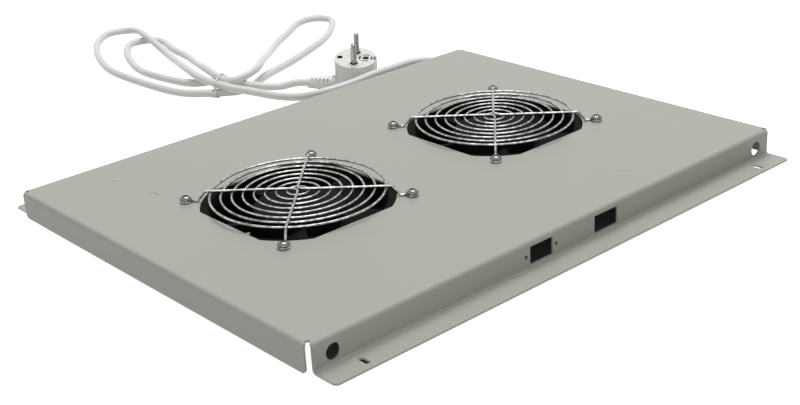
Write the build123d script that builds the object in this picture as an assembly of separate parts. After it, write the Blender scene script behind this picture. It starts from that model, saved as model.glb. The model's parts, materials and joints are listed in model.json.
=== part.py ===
from build123d import *
from math import cos, pi, radians, sin, sqrt, tan
import os

# Rack fan tray: a folded steel panel that carries two axial mains fans under wire finger guards.
# The origin is on the surface that the fans stand on, below the panel's middle. +X runs along the
# long sides, -Y is the front side with the cut-outs, +Z is up. All sizes are in millimetres.

# Tray panel
panel_length = 417.0
panel_depth = 312.0
wall_height = 18.5
sheet = 1.2
bend_inside = 1.4
flange_width = 18.0
flange_corner = 3.0
wall_end_gap = 3.2
lip_end_gap = 3.2
lip_corner = 3.0
relief_radius = 1.5

# Fans and their openings: each fan stands inwards of a quarter of the panel's length
fan_inset = 13.25
fan_size = 120.0
fan_depth = 38.0
screw_inset = 7.6
opening_margin = 4.0
opening_flat_inset = 4.5
punch_tab_reach = 3.0
punch_tab_low = -22.2
punch_tab_high = -16.6

# Holes in the long sides and flanges
side_hole_radius = 5.0
side_hole_inset = 17.0
side_hole_height = 8.3
switch_cutout = (20.0, 11.7)
switch_cutout_x = -29.5
switch_screw_spacing = 26.5
switch_screw_radius = 1.4
display_cutout = (22.0, 11.7)
display_cutout_x = 30.0
cutout_height = 8.9
slot_width = 3.5
slot_length = 8.4
slot_inset = 29.5
slot_reach = 10.0

# Fan frame
frame_corner = 6.0
frame_flange = 5.0
duct_inset = 0.8
duct_wall = 2.2
mouth_flare = 1.6
mouth_depth = 6.0
mouth_sag = 0.5
motor_base_radius = 31.0
motor_base = 3.0
strut_count = 4
strut_width = 5.5
strut_height = 4.0
strut_sweep = 18.0
strut_start = 45.0
strut_sink = 2.0
bearing_tube_radius = 8.0
bearing_tube_drop = 11.0

# Motor
bearing_radius = 5.5
bearing_height = 4.0
bearing_low = 2.4
bearing_high_drop = 16.0
oil_bore = 4.6
shaft_radius = 2.0
shaft_bottom = 0.8
shaft_drop = 3.0
running_gap = 0.03
seat_gap = 0.02
clip_thickness = 0.5
clip_groove = 1.5
clip_radius = 3.3
clip_mouth = 2.6
thrust_washer = 0.5
thrust_washer_radius = 3.8
stator_radius = 23.4
stator_low = 8.5
stator_drop = 15.5
pole_count = 4
pole_width = 9.0
pole_shoe = 3.0
pole_gap = 5.0
stator_hub = 12.0
coil_thickness = 2.6
coil_gap = 0.2
air_gap = 0.6
rotor_thickness = 3.0
rotor_low = 6.5
rotor_drop = 9.5

# Impeller
hub_radius = 30.5
hub_low = 5.6
hub_drop = 2.0
hub_roof = 2.6
hub_boss_radius = 4.8
hub_fillet = 1.5
blade_count = 5
blade_tip_gap = 1.0
blade_lift = 1.5
blade_thickness = 1.8
blade_sink = 1.0
blade_root_chord = 31.0
blade_root_pitch = 46.0
blade_root_camber = 3.4
blade_tip_chord = 52.0
blade_tip_pitch = 27.0
blade_tip_camber = 4.4

# Wire finger guards
ring_count = 8
ring_inset = 1.4
ring_wire = 0.8
ring_lift = 5.5
leg_wire = 1.0
weld_sink = 0.15
leg_step_share = (0.192, 0.609)
leg_step_bend = 2.0
apex_offset = 1.6
apex_bend = 4.0

# Fasteners
screw_radius = 2.0
screw_length = 12.0
screw_hole = 2.15
head_radius = 4.0
head_height = 2.6
head_rim = 0.6
head_dome = (2.72, 2.03)
recess_width = 0.9
recess_length = 4.2
recess_depth = 1.2
washer_thickness = 0.8
washer_radius = 3.8
nut_across_flats = 7.0
nut_height = 3.2

# Blade terminals on the fan frames
holder_width = 14.0
holder_depth = 6.5
holder_low = 8.0
holder_height = 11.0
blade_terminal = (2.8, 0.8)
blade_terminal_length = 8.0
blade_terminal_root = 3.0
blade_terminal_spacing = 7.0

# Cable bushing at the back side
bushing_clearance = 0.3
bushing_neck_gap = 0.1
bushing_flange = 5.6
bushing_flange_thickness = 2.0
bushing_tail_wide = 5.2
bushing_tail_narrow = 4.7
bushing_tail_length = 6.0
bushing_inner_radius = 6.4
bushing_inner_thickness = 1.6

# Terminal block and studs under the panel, their places from the cord's hole and the back side
block_inset = (4.5, 41.0)
block_length = 30.0
block_width = 18.0
block_height = 15.0
block_fillet = 1.5
block_groove = (2.0, 2.5)
pole_pitch = 10.0
wire_bore = 1.6
wire_bore_drop = 8.0
clamp_screw_radius = 1.5
clamp_screw_head = 1.9
clamp_screw_spacing = 10.0
clamp_screw_sink = 1.0
clamp_head_height = 2.4
clamp_slot = (4.0, 0.7, 0.8)
stud_radius = 1.5
stud_hole = 1.65
stud_length = 20.0
stud_foot_radius = 2.4
stud_foot = 0.8
stud_foot_gap = 0.2
stud_nut_flats = 5.5
stud_nut_height = 2.4
earth_inset = (41.5, 38.0)
earth_stud_radius = 2.0
earth_stud_length = 14.0
earth_foot_radius = 3.0
earth_teeth = 8
earth_notch = (1.0, 0.8)

# Mains cord
cord_radius = 3.5
core_radius = 1.2
core_ring = 1.5
core_bend = 3.0
core_straight = 5.0
core_reach = 4.0
jacket_inset = 4.5
corner_share = 0.45
cord_end_run = 10.0

# Plug, in its own frame: x towards the cord, y along the line of the pins, z out of the face.
# The face is placed from the cord's hole in the back side.
plug_face = (-51.3, 59.2, 36.02)
plug_heading = 131.0
plug_tilt = 11.8
plug_roll = 3.4
plug_radius = 18.5
plug_depth = 34.0
plug_back_fillet = 6.0
plug_face_fillet = 0.8
plug_neck_radius = 7.2
plug_neck_reach = 22.0
pin_radius = 2.4
pin_length = 19.0
pin_spacing = 19.0
pin_root = 8.0
pin_tip_fillet = 2.0
pin_collar = 1.1
pin_collar_depth = 1.4
contact_groove_width = 5.6
contact_groove_depth = 2.6
contact_groove_length = 22.0
groove_overcut = 2.0
contact_strip = 0.8
contact_gap = 0.05
contact_top = 3.0
earth_socket_x = -9.0
earth_socket_radius = 2.9
earth_socket_wall = 0.4
earth_socket_depth = 15.0
earth_socket_top = 1.0
earth_ring_outer = 6.0
earth_ring_inner = 4.6
earth_ring_depth = 1.4
earth_bridge = 2.2
clip_recess = (4.4, 4.6, 2.0)
clip_recess_x = 13.6
clip_cover = 3.0
boot_axis = 26.5
boot_wide = 6.6
boot_narrow = 5.0
boot_length = 21.0
boot_slot_count = 5
boot_slot_pitch = 3.5
boot_slot_first = 2.8
boot_slot_width = 1.7
boot_slot_core = 3.9
boot_slot_span = 4.6
boot_slot_rows = 4

# Tie round the bundled cord: its place and the bundle's heading there
tie_thickness = 0.8
tie_width = 2.4
tie_gap = 0.25
tie_place = (-125.5, 157.0)
tie_heading = 112.0
tie_reach = 45.0
lock_size = (3.4, 4.2, 4.6)
lock_sink = 0.3
lock_fillet = 0.6
tail_length = 3.5

# Derived sizes and places
screw_square = fan_size - 2 * screw_inset
opening_radius = fan_size / 2 + opening_margin
opening_flat = fan_size / 2 - opening_flat_inset
duct_outside = fan_size / 2 - duct_inset
duct_bore = duct_outside - duct_wall
duct_mouth = duct_bore + mouth_flare
bearing_tube_top = fan_depth - bearing_tube_drop
bearing_high = fan_depth - bearing_high_drop
shaft_top = fan_depth - shaft_drop
stator_height = fan_depth - stator_drop - stator_low
rotor_height = fan_depth - rotor_drop - rotor_low
hub_top = fan_depth - hub_drop
blade_middle = fan_depth / 2 + blade_lift
ring_pitch = (duct_mouth - ring_inset) / ring_count
panel_top = fan_depth + sheet
panel_middle = fan_depth + sheet / 2
flange_bottom = panel_top - wall_height
bend_outside = bend_inside + sheet
bend_middle = bend_inside + sheet / 2
hole_z = flange_bottom + side_hole_height
cutout_z = flange_bottom + cutout_height
fan_reach = panel_length / 4 - fan_inset
fan_x = {"left": -fan_reach, "right": fan_reach}
screw_places = [(i * screw_square / 2, j * screw_square / 2) for i in (-1, 1) for j in (-1, 1)]
ring_z = panel_top + ring_lift
leg_high = ring_z + ring_wire + leg_wire - weld_sink
leg_low = panel_top + leg_wire
eye_radius = screw_radius + leg_wire + seat_gap
leg_free = screw_square / sqrt(2) - eye_radius - duct_mouth
leg_step_high = duct_mouth + leg_step_share[0] * leg_free
leg_step_low = duct_mouth + leg_step_share[1] * leg_free
head_z = leg_low + leg_wire
cord_hole_x = panel_length / 2 - side_hole_inset
wall_y = panel_depth / 2
jacket_end_y = wall_y - jacket_inset
block_x = cord_hole_x - block_inset[0]
block_y = wall_y - block_inset[1]
wire_bore_z = fan_depth - wire_bore_drop
earth_x = cord_hole_x - earth_inset[0]
earth_y = wall_y - earth_inset[1]


def ring(outer, inner, low, height, x=0.0, y=0.0):
    """Flat ring or short tube standing on the height low."""
    tube = Cylinder(outer, height, align=(Align.CENTER, Align.CENTER, Align.MIN))
    tube -= Cylinder(inner, height, align=(Align.CENTER, Align.CENTER, Align.MIN))
    return Pos(x, y, low) * tube


def disc(radius, low, height, x=0.0, y=0.0):
    """Upright cylinder standing on the height low."""
    solid = Cylinder(radius, height, align=(Align.CENTER, Align.CENTER, Align.MIN))
    return Pos(x, y, low) * solid


def block(size_x, size_y, low, height, x=0.0, y=0.0):
    """Upright box standing on the height low."""
    solid = Box(size_x, size_y, height, align=(Align.CENTER, Align.CENTER, Align.MIN))
    return Pos(x, y, low) * solid


def hex_nut(flats, bore, low, height, x, y):
    """Plain hexagon nut with its thread left as a smooth bore."""
    body = extrude(RegularPolygon(flats / 2, 6, major_radius=False), amount=height)
    body -= disc(bore + seat_gap, 0, height)
    return Pos(x, y, low) * body


def bent_strip(points, width, plane):
    """Strip of sheet along a bent centre line, its width centred on the plane."""
    with BuildPart() as strip:
        with BuildSketch(plane):
            with BuildLine():
                FilletPolyline(*points, radius=bend_middle)
            trace(line_width=sheet)
        extrude(amount=width / 2, both=True)
    return strip.part


def long_side():
    """Front side: bend, upright wall, second bend and outward flange."""
    root = -wall_y + bend_outside + 2 * sheet
    wall = -wall_y + sheet / 2
    points = [
        (root, panel_middle),
        (wall, panel_middle),
        (wall, flange_bottom + sheet / 2),
        (-wall_y - flange_width, flange_bottom + sheet / 2),
    ]
    side = bent_strip(points, panel_length - 2 * wall_end_gap, Plane.YZ)
    corners = side.edges().filter_by(Axis.Z).group_by(Axis.Y)[0]
    return fillet(corners, flange_corner)


def end_lip():
    """Left end: bend and upright lip with rounded lower corners."""
    root = -panel_length / 2 + bend_outside + 2 * sheet
    lip = -panel_length / 2 + sheet / 2
    points = [(root, panel_middle), (lip, panel_middle), (lip, flange_bottom)]
    side = bent_strip(points, panel_depth - 2 * lip_end_gap, Plane.XZ)
    corners = side.edges().filter_by(Axis.X).group_by(Axis.Z)[0]
    return fillet(corners, lip_corner)


def opening_shape(with_tab):
    """Fan opening: a circle clipped by four flats, and the small tab that punching leaves."""
    flats = Rectangle(2 * opening_flat, 2 * opening_flat)
    shape = Circle(opening_radius) & flats
    if with_tab:
        tip = -opening_flat + punch_tab_reach
        root = -opening_flat - sheet
        middle = punch_tab_high - punch_tab_reach / 2
        outline = Polyline(
            (root, punch_tab_low), (tip, middle), (root, punch_tab_high), (root, punch_tab_low)
        )
        shape -= make_face(outline)
    return shape


def side_cutouts():
    """Two rectangular cut-outs in the front side and the screw holes beside the first."""
    front = Plane(origin=(0, -wall_y + sheet / 2, cutout_z), x_dir=(1, 0, 0), z_dir=(0, -1, 0))
    shape = Pos(switch_cutout_x, 0) * Rectangle(*switch_cutout)
    shape += Pos(display_cutout_x, 0) * Rectangle(*display_cutout)
    for side in (-1, 1):
        place = switch_cutout_x + side * switch_screw_spacing / 2
        shape += Pos(place, 0) * Circle(switch_screw_radius)
    return extrude(front * shape, amount=sheet, both=True)


def tray_panel():
    """Folded steel panel with its openings, holes, slots and corner reliefs."""
    core_x = panel_length - 2 * bend_outside
    core_y = panel_depth - 2 * bend_outside
    panel = block(core_x, core_y, fan_depth, sheet)
    side = long_side()
    lip = end_lip()
    panel += side + mirror(side, Plane.XZ) + lip + mirror(lip, Plane.YZ)
    for i in (-1, 1):
        for j in (-1, 1):
            x = i * (panel_length / 2 - wall_end_gap)
            y = j * (panel_depth / 2 - lip_end_gap)
            panel -= disc(relief_radius, fan_depth - bend_outside, 3 * bend_outside, x, y)
            slot = SlotOverall(slot_length, slot_width, rotation=90)
            x = i * (panel_length / 2 - slot_inset)
            y = j * (wall_y + slot_reach)
            panel -= Pos(x, y, flange_bottom - sheet) * extrude(slot, amount=3 * sheet)
            hole = Cylinder(side_hole_radius, 4 * sheet, rotation=(90, 0, 0))
            x = i * (panel_length / 2 - side_hole_inset)
            panel -= Pos(x, j * (wall_y - sheet / 2), hole_z) * hole
    for name, x in fan_x.items():
        cut = extrude(opening_shape(name == "left"), amount=3 * sheet)
        panel -= Pos(x, 0, fan_depth - sheet) * cut
        for screw_x, screw_y in screw_places:
            panel -= disc(screw_hole, fan_depth - sheet, 3 * sheet, x + screw_x, screw_y)
    panel -= side_cutouts()
    return panel


def fan_frame():
    """Die-cast fan frame: two square flanges, duct, swept struts, motor base and bearing tube."""
    square = RectangleRounded(fan_size, fan_size, frame_corner)
    flange = extrude(square, amount=frame_flange)
    frame = flange + Pos(0, 0, fan_depth - frame_flange) * flange
    frame += disc(duct_outside, 0, fan_depth)
    with BuildSketch(Plane.XZ) as bore:
        with BuildLine():
            Polyline((0, 0), (duct_mouth, 0))
            ThreePointArc(
                (duct_mouth, 0), (duct_bore + mouth_sag, mouth_depth / 2), (duct_bore, mouth_depth)
            )
            Line((duct_bore, mouth_depth), (duct_bore, fan_depth - mouth_depth))
            ThreePointArc(
                (duct_bore, fan_depth - mouth_depth),
                (duct_bore + mouth_sag, fan_depth - mouth_depth / 2),
                (duct_mouth, fan_depth),
            )
            Polyline((duct_mouth, fan_depth), (0, fan_depth), (0, 0))
        make_face()
    frame -= revolve(bore.sketch, Axis.Z)
    frame += disc(motor_base_radius, 0, motor_base)
    frame += disc(bearing_tube_radius, 0, bearing_tube_top)
    reach = duct_bore - motor_base_radius + 2 * strut_sink
    strut = block(reach, strut_width, 0, strut_height)
    strut = Pos((duct_bore + motor_base_radius) / 2, 0, 0) * Rot(0, 0, strut_sweep) * strut
    for i in range(strut_count):
        frame += Rot(0, 0, i * 360 / strut_count + strut_start) * strut
    frame -= disc(bearing_radius, 0, bearing_low + bearing_height)
    frame -= disc(oil_bore, 0, bearing_tube_top)
    frame -= disc(bearing_radius, bearing_high, bearing_tube_top)
    for x, y in screw_places:
        frame -= disc(screw_hole, 0, fan_depth, x, y)
    return frame


def bearings():
    """Two ball bearings, each as one closed ring."""
    outer = bearing_radius - seat_gap
    inner = shaft_radius + running_gap
    lower = ring(outer, inner, bearing_low, bearing_height)
    upper = ring(outer, inner, bearing_high, bearing_height)
    return [lower, upper]


def stator_core():
    """Laminated core: a hub on the bearing tube and four poles with wide shoes."""
    core = disc(stator_hub, stator_low, stator_height)
    shoes = ring(stator_radius, stator_radius - pole_shoe, stator_low, stator_height)
    for i in range(pole_count):
        angle = i * 360 / pole_count
        reach = stator_radius - pole_shoe / 2
        pole = block(reach, pole_width, stator_low, stator_height)
        core += Rot(0, 0, angle) * Pos(reach / 2, 0, 0) * pole
        gap = block(3 * pole_shoe, pole_gap, stator_low, stator_height)
        shoes -= Rot(0, 0, angle + 180 / pole_count) * Pos(stator_radius, 0, 0) * gap
    core += shoes
    core -= disc(bearing_tube_radius + seat_gap, stator_low, stator_height)
    return core


def stator_windings():
    """Four coils, one round each pole."""
    coils = []
    inner_y = pole_width / 2 + 2 * seat_gap
    inner_z = stator_height / 2 + 2 * seat_gap
    outer_y = inner_y + coil_thickness
    start = stator_hub + coil_gap
    length = sqrt((stator_radius - pole_shoe - coil_gap) ** 2 - outer_y**2) - start
    middle = stator_low + stator_height / 2
    outer = RectangleRounded(2 * outer_y, 2 * (inner_z + coil_thickness), coil_thickness)
    inner = Rectangle(2 * inner_y, 2 * inner_z)
    for i in range(pole_count):
        plane = Plane(origin=(start, 0, middle), x_dir=(0, 1, 0), z_dir=(1, 0, 0))
        coil = extrude(plane * (outer - inner), amount=length)
        coils.append(Rot(0, 0, i * 360 / pole_count) * coil)
    return coils


def rotor_ring():
    """Squirrel cage ring that turns round the stator."""
    inner = stator_radius + air_gap
    return ring(inner + rotor_thickness, inner, rotor_low, rotor_height)


def shaft():
    """Steel shaft with the groove for its clip near the lower end."""
    rod = disc(shaft_radius, shaft_bottom, shaft_top - shaft_bottom)
    low = bearing_low - running_gap - clip_thickness - 2 * seat_gap
    groove = clip_thickness + 2 * seat_gap
    rod -= ring(2 * shaft_radius, clip_groove, low, groove)
    return rod


def shaft_clip():
    """Retaining clip in the shaft's groove, open on one side."""
    low = bearing_low - running_gap - clip_thickness - seat_gap
    clip = ring(clip_radius, clip_groove + seat_gap, low, clip_thickness)
    clip -= block(2 * clip_radius, clip_mouth, low, clip_thickness, clip_radius)
    return clip


def thrust_ring():
    """Washer between the upper bearing and the hub's boss."""
    low = bearing_high + bearing_height + running_gap
    return ring(thrust_washer_radius, shaft_radius + running_gap, low, thrust_washer)


def blade_section(radius, chord, pitch, camber):
    """Cambered blade profile on the plane that touches the cylinder of this radius."""
    plane = Plane(origin=(radius, 0, blade_middle), x_dir=(0, 1, 0), z_dir=(1, 0, 0))
    half = chord / 2
    edge = blade_thickness / 4
    with BuildSketch(plane) as section:
        with BuildLine(Rot(0, 0, pitch)):
            ThreePointArc((-half, edge), (0, camber + blade_thickness / 2), (half, edge))
            Line((half, edge), (half, -edge))
            ThreePointArc((half, -edge), (0, camber - blade_thickness / 2), (-half, -edge))
            Line((-half, -edge), (-half, edge))
        make_face()
    return section.sketch


def impeller():
    """Moulded hub cup with its boss and blades."""
    tip = duct_bore - blade_tip_gap
    cup_bore = stator_radius + air_gap + rotor_thickness + seat_gap
    roof_low = hub_top - hub_roof
    hub = disc(hub_radius, hub_low, hub_top - hub_low)
    hub = fillet(hub.edges().group_by(Axis.Z)[-1], hub_fillet)
    hub -= disc(cup_bore, hub_low, roof_low - hub_low)
    boss_low = bearing_high + bearing_height + thrust_washer + 3 * running_gap
    hub += disc(hub_boss_radius, boss_low, roof_low - boss_low)
    hub -= disc(shaft_radius + seat_gap, boss_low, shaft_top + seat_gap - boss_low)
    inside = cup_bore - blade_sink
    root = blade_section(inside, blade_root_chord, blade_root_pitch, blade_root_camber)
    outer = blade_section(duct_bore, blade_tip_chord, blade_tip_pitch, blade_tip_camber)
    blade = loft([root, outer])
    blade &= ring(tip, cup_bore + blade_sink, 0, fan_depth)
    for i in range(blade_count):
        hub += Rot(0, 0, i * 360 / blade_count) * blade
    return hub


def terminal_holder():
    """Insulating holder of the blade terminals, seated on the duct at a frame corner."""
    holder = block(2 * holder_depth, holder_width, holder_low, holder_height, duct_outside)
    holder -= disc(duct_outside, holder_low, holder_height)
    for solid in terminal_blades():
        holder -= solid
    return holder


def terminal_blades():
    """Two tinned blade terminals that stand out of the holder."""
    root = duct_outside + holder_depth - blade_terminal_root
    length = blade_terminal_root + blade_terminal_length
    low = holder_low + holder_height / 2 - blade_terminal[0] / 2
    blades = []
    for side in (-1, 1):
        blade = block(length, blade_terminal[1], low, blade_terminal[0])
        blades.append(Pos(root + length / 2, side * blade_terminal_spacing / 2, 0) * blade)
    return blades


def guard_leg_points(direction):
    """Points of a guard's leg from its eye inwards, up to the high straight stretch."""
    i, j = direction
    diagonal = screw_square / sqrt(2)
    stops = [(diagonal - eye_radius, leg_low), (leg_step_low, leg_low), (leg_step_high, leg_high)]
    return [(i * r / sqrt(2), j * r / sqrt(2), z) for r, z in stops]


def guard_wire(side):
    """One V-shaped support wire, its apex beside the guard's middle and an eye at each end."""
    first = guard_leg_points((side, 1))
    second = guard_leg_points((side, -1))
    points = first + [(side * apex_offset, 0, leg_high)] + second[::-1]
    bends = [leg_step_bend, leg_step_bend, apex_bend, leg_step_bend, leg_step_bend]
    path = FilletPolyline(*points, radius=bends)
    start = Plane(origin=path @ 0, z_dir=path % 0)
    wire = sweep(start * Circle(leg_wire), path=path)
    for j in (-1, 1):
        eye = Torus(eye_radius, leg_wire)
        wire += Pos(side * screw_square / 2, j * screw_square / 2, leg_low) * eye
    return wire


def guard():
    """Welded finger guard: eight rings under two support wires."""
    body = guard_wire(-1) + guard_wire(1)
    for i in range(ring_count):
        body += Pos(0, 0, ring_z) * Torus((i + 1) * ring_pitch, ring_wire)
    return body


def pan_screw(x, y):
    """Domed screw with a cross recess and a plain shank."""
    crown = head_height
    with BuildSketch(Plane.XZ) as profile:
        with BuildLine():
            Polyline((0, -screw_length), (screw_radius, -screw_length), (screw_radius, 0))
            Polyline((screw_radius, 0), (head_radius, 0), (head_radius, head_rim))
            ThreePointArc((head_radius, head_rim), head_dome, (0, crown))
            Line((0, crown), (0, -screw_length))
        make_face()
    screw = revolve(profile.sketch, Axis.Z)
    slot = block(recess_length, recess_width, crown - recess_depth, 2 * recess_depth)
    screw -= slot + Rot(0, 0, 90) * slot
    return Pos(x, y, head_z) * screw


def fan_fasteners():
    """Screws, lock washers and nuts of one fan, round the fan's own axis."""
    under = fan_depth - frame_flange
    screws = [pan_screw(x, y) for x, y in screw_places]
    low = under - washer_thickness
    bore = screw_radius + seat_gap
    washers = [ring(washer_radius, bore, low, washer_thickness, x, y) for x, y in screw_places]
    low -= nut_height
    nuts = [
        hex_nut(nut_across_flats, screw_radius, low, nut_height, x, y) for x, y in screw_places
    ]
    return screws, washers, nuts


def cable_bushing():
    """Flexible bushing in the back side's hole, with its tapered tail round the cord."""
    bore = cord_radius + bushing_clearance
    neck = side_hole_radius - bushing_neck_gap
    inside = -sheet - bushing_inner_thickness
    tail = bushing_flange_thickness + bushing_tail_length
    outline = [
        (bore, inside),
        (bushing_inner_radius, inside),
        (bushing_inner_radius, -sheet),
        (neck, -sheet),
        (neck, 0),
        (bushing_flange, 0),
        (bushing_flange, bushing_flange_thickness),
        (bushing_tail_wide, bushing_flange_thickness),
        (bushing_tail_narrow, tail),
        (bore, tail),
        (bore, inside),
    ]
    profile = make_face(Plane.XZ * Polyline(*outline))
    bushing = revolve(profile, Axis.Z)
    return Pos(cord_hole_x, wall_y, hole_z) * Rot(-90, 0, 0) * bushing


def pole_x():
    """Places of the terminal block's three poles along X."""
    return [block_x + i * pole_pitch for i in (-1, 0, 1)]


def stud_x():
    """Places of the two fixing studs, between the poles."""
    return [block_x + i * pole_pitch / 2 for i in (-1, 1)]


def clamp_places():
    """Two clamping screws in each pole."""
    return [(x, block_y + j * clamp_screw_spacing / 2) for x in pole_x() for j in (-1, 1)]


def terminal_block():
    """Three-pole block that hangs on two studs under the panel."""
    low = fan_depth - block_height
    body = block(block_length, block_width, low, block_height, block_x, block_y)
    body = fillet(body.edges().filter_by(Axis.Z), block_fillet)
    for x in stud_x():
        body -= block(block_groove[0], block_width, low, block_groove[1], x, block_y)
        body -= disc(stud_hole, low, block_height, x, block_y)
        pocket = stud_foot + stud_foot_gap
        body -= disc(stud_foot_radius + stud_foot_gap, fan_depth - pocket, pocket, x, block_y)
    for x in pole_x():
        bore = Cylinder(wire_bore, block_width, rotation=(90, 0, 0))
        body -= Pos(x, block_y, wire_bore_z) * bore
    for x, y in clamp_places():
        body -= disc(clamp_screw_head, low, wire_bore_z - low, x, y)
    return body


def clamping_screws():
    """Slotted clamping screws, seen from below in the block's wells."""
    low = fan_depth - block_height + clamp_screw_sink
    top = wire_bore_z - core_radius - seat_gap
    screws = []
    for x, y in clamp_places():
        screw = disc(clamp_screw_head - 2 * seat_gap, low, clamp_head_height, x, y)
        screw += disc(clamp_screw_radius, low, top - low, x, y)
        screw -= block(clamp_slot[0], clamp_slot[1], low, clamp_slot[2], x, y)
        screws.append(screw)
    return screws


def weld_studs():
    """Studs welded to the panel's underside: two for the block, one for the earth."""
    studs = []
    for x in stud_x():
        stud = disc(stud_radius, fan_depth - stud_length, stud_length, x, block_y)
        stud += disc(stud_foot_radius, fan_depth - stud_foot, stud_foot, x, block_y)
        studs.append(stud)
    low = fan_depth - earth_stud_length
    earth = disc(earth_stud_radius, low, earth_stud_length, earth_x, earth_y)
    earth += disc(earth_foot_radius, fan_depth - stud_foot, stud_foot, earth_x, earth_y)
    studs.append(earth)
    return studs


def stud_nuts():
    """Nuts that hold the terminal block, and the nut on the earth stud."""
    low = fan_depth - block_height - stud_nut_height
    nuts = [hex_nut(stud_nut_flats, stud_radius, low, stud_nut_height, x, block_y) for x in stud_x()]
    low = fan_depth - stud_foot - washer_thickness - nut_height
    nuts.append(hex_nut(nut_across_flats, earth_stud_radius, low, nut_height, earth_x, earth_y))
    return nuts


def earth_washer():
    """Toothed washer between the earth stud's foot and its nut."""
    low = fan_depth - stud_foot - washer_thickness
    bore = earth_stud_radius + seat_gap
    washer = ring(washer_radius, bore, low, washer_thickness, earth_x, earth_y)
    notch = block(*earth_notch, low, washer_thickness, washer_radius)
    for i in range(earth_teeth):
        washer -= Pos(earth_x, earth_y, 0) * Rot(0, 0, i * 360 / earth_teeth) * notch
    return washer


def beside_hole(x, y, z):
    """Point given from the cord's hole in the back side, with its height above the floor."""
    return (cord_hole_x + x, wall_y + y, z)


def plug_plane():
    """Plane on the plug's face, leaning towards the tray."""
    heading = radians(plug_heading)
    along = Vector(cos(heading), sin(heading), 0)
    across = Vector(-sin(heading), cos(heading), 0)
    lean = across * tan(radians(plug_tilt)) - along * tan(radians(plug_roll))
    normal = (Vector(0, 0, 1) + lean).normalized()
    level = (along - normal * along.dot(normal)).normalized()
    return Plane(origin=beside_hole(*plug_face), x_dir=level, z_dir=normal)


def plug_point(x, y, z):
    """Point of the plug's own frame, in the part's frame."""
    return plug_plane().from_local_coords(Vector(x, y, z))


def contact_grooves():
    """Grooves for the side earth contacts, towards the cord and away from it."""
    middle = plug_radius + (groove_overcut - contact_groove_depth) / 2
    size = contact_groove_depth + groove_overcut
    low = -contact_groove_length
    open_height = contact_groove_length + groove_overcut
    covered_height = contact_groove_length - clip_cover
    far = block(size, contact_groove_width, low, open_height, -middle)
    near = block(size, contact_groove_width, low, covered_height, middle)
    return far, near


def face_recesses():
    """Collars round the pins, the broken ring round the earth socket and the clip's recess."""
    reach = pin_radius + pin_collar
    sunk = [
        disc(reach, -pin_collar_depth, pin_collar_depth, 0, side * pin_spacing / 2)
        for side in (-1, 1)
    ]
    groove = ring(earth_ring_outer, earth_ring_inner, -earth_ring_depth, earth_ring_depth)
    bridge = block(3 * earth_ring_outer, earth_bridge, -earth_ring_depth, earth_ring_depth)
    groove -= Rot(0, 0, 45) * bridge + Rot(0, 0, -45) * bridge
    length, width, depth = clip_recess
    sunk.append(Pos(earth_socket_x, 0, 0) * groove)
    sunk.append(block(length, width, -depth, depth, clip_recess_x))
    return sunk


def plug_body():
    """Moulded angled plug body: round head and a neck towards the cord."""
    head = disc(plug_radius, -plug_depth, plug_depth)
    head = fillet(head.edges().group_by(Axis.Z)[0], plug_back_fillet)
    head = fillet(head.edges().group_by(Axis.Z)[-1], plug_face_fillet)
    neck = Rot(0, 90, 0) * disc(plug_neck_radius, 0, plug_neck_reach)
    body = head + Pos(0, 0, -boot_axis) * neck
    for cut in (*contact_grooves(), *face_recesses()):
        body -= cut
    for side in (-1, 1):
        body -= disc(pin_radius, -pin_root, pin_root, 0, side * pin_spacing / 2)
    body -= disc(earth_socket_radius, -earth_socket_depth, earth_socket_depth, earth_socket_x)
    return body


def plug_pins():
    """Two round pins with domed tips, set into the face."""
    pins = []
    for side in (-1, 1):
        pin = disc(pin_radius, -pin_root, pin_root + pin_length)
        pin = fillet(pin.edges().group_by(Axis.Z)[-1], pin_tip_fillet)
        pins.append(Pos(0, side * pin_spacing / 2, 0) * pin)
    return pins


def plug_earth_contacts():
    """Earth strip in each side groove, and the sleeve in the earth socket."""
    low = -contact_groove_length + contact_gap
    height = contact_groove_length - contact_top - 2 * contact_gap
    width = contact_groove_width - 2 * contact_gap
    place = plug_radius - contact_groove_depth + contact_strip / 2 + contact_gap
    strips = [block(contact_strip, width, low, height, side * place, 0) for side in (-1, 1)]
    outer = earth_socket_radius - contact_gap
    inner = outer - earth_socket_wall
    low = -earth_socket_depth + contact_gap
    height = earth_socket_depth - earth_socket_top
    sleeve = ring(outer, inner, low, height, earth_socket_x)
    return strips + [sleeve]


def plug_strain_relief():
    """Tapered boot with four rows of slots, set at 45 degrees to the upright."""
    boot = Cone(boot_wide, boot_narrow, boot_length, align=(Align.CENTER, Align.CENTER, Align.MIN))
    for i in range(boot_slot_count):
        slot = Box(boot_wide, boot_slot_span, boot_slot_width)
        slot = Pos(boot_slot_core + boot_wide / 2, 0, boot_slot_first + i * boot_slot_pitch) * slot
        for row in range(boot_slot_rows):
            boot -= Rot(0, 0, (row + 0.5) * 360 / boot_slot_rows) * slot
    return Pos(plug_neck_reach, 0, -boot_axis) * Rot(0, 90, 0) * boot


def leaving_points():
    """The cord's way out of the back side and past the plug: offsets from the hole."""
    return [
        (0, 11.5, 0),
        (-4, 24.5, -0.5),
        (-13.5, 31, -1),
        (-31.5, 32.5, -2),
        (-51.5, 33, -2),
        (-69.5, 33.5, -3.5),
        (-86.5, 35, -5),
        (-104.5, 41, -7),
    ]


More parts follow.
